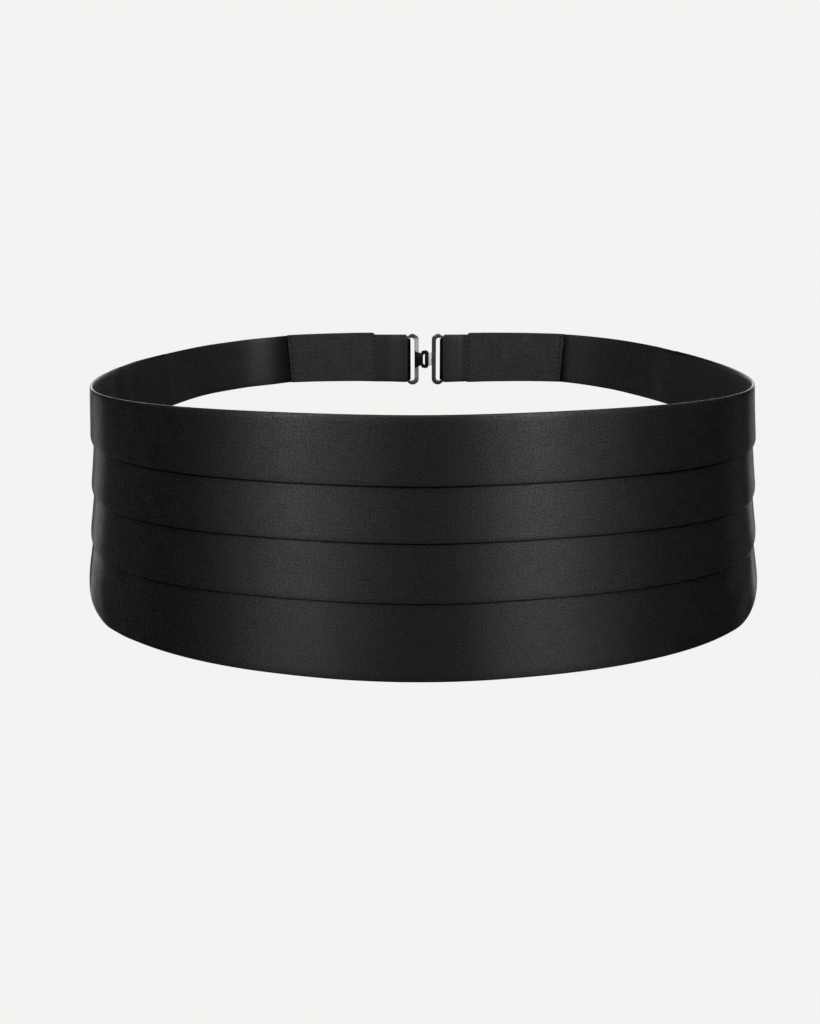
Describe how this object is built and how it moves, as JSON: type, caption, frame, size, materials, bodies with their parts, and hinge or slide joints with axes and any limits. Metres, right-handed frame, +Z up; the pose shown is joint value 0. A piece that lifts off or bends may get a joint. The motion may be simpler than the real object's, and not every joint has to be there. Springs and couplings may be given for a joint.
{
  "type": "cummerbund, closed as worn",
  "caption": "Pleated black satin cummerbund closed in a loop, with back straps, facing tabs and a hook clasp.",
  "frame": {"origin": "middle of the waist loop, level with the middle of the back straps", "axes": "+Z up as worn, the pleated front faces -Y, the clasp is at +Y, +X is to the right of someone who looks at the front"},
  "size_m": [0.3658, 0.2233, 0.1343],
  "materials": {
    "satin": "black duchesse satin, soft sheen",
    "backing": "black twill, low sheen",
    "facing": "matte warm black facing cloth",
    "clasp_metal": "black nickel, polished"
  },
  "bodies": {
    "root": {"pleated_front": "satin", "front_backing": "backing", "strap_left": "satin", "strap_right": "satin", "end_tab_left": "facing", "end_tab_right": "facing", "clasp_ring_left": "clasp_metal", "clasp_ring_right": "clasp_metal"}
  },
  "joints": []
}
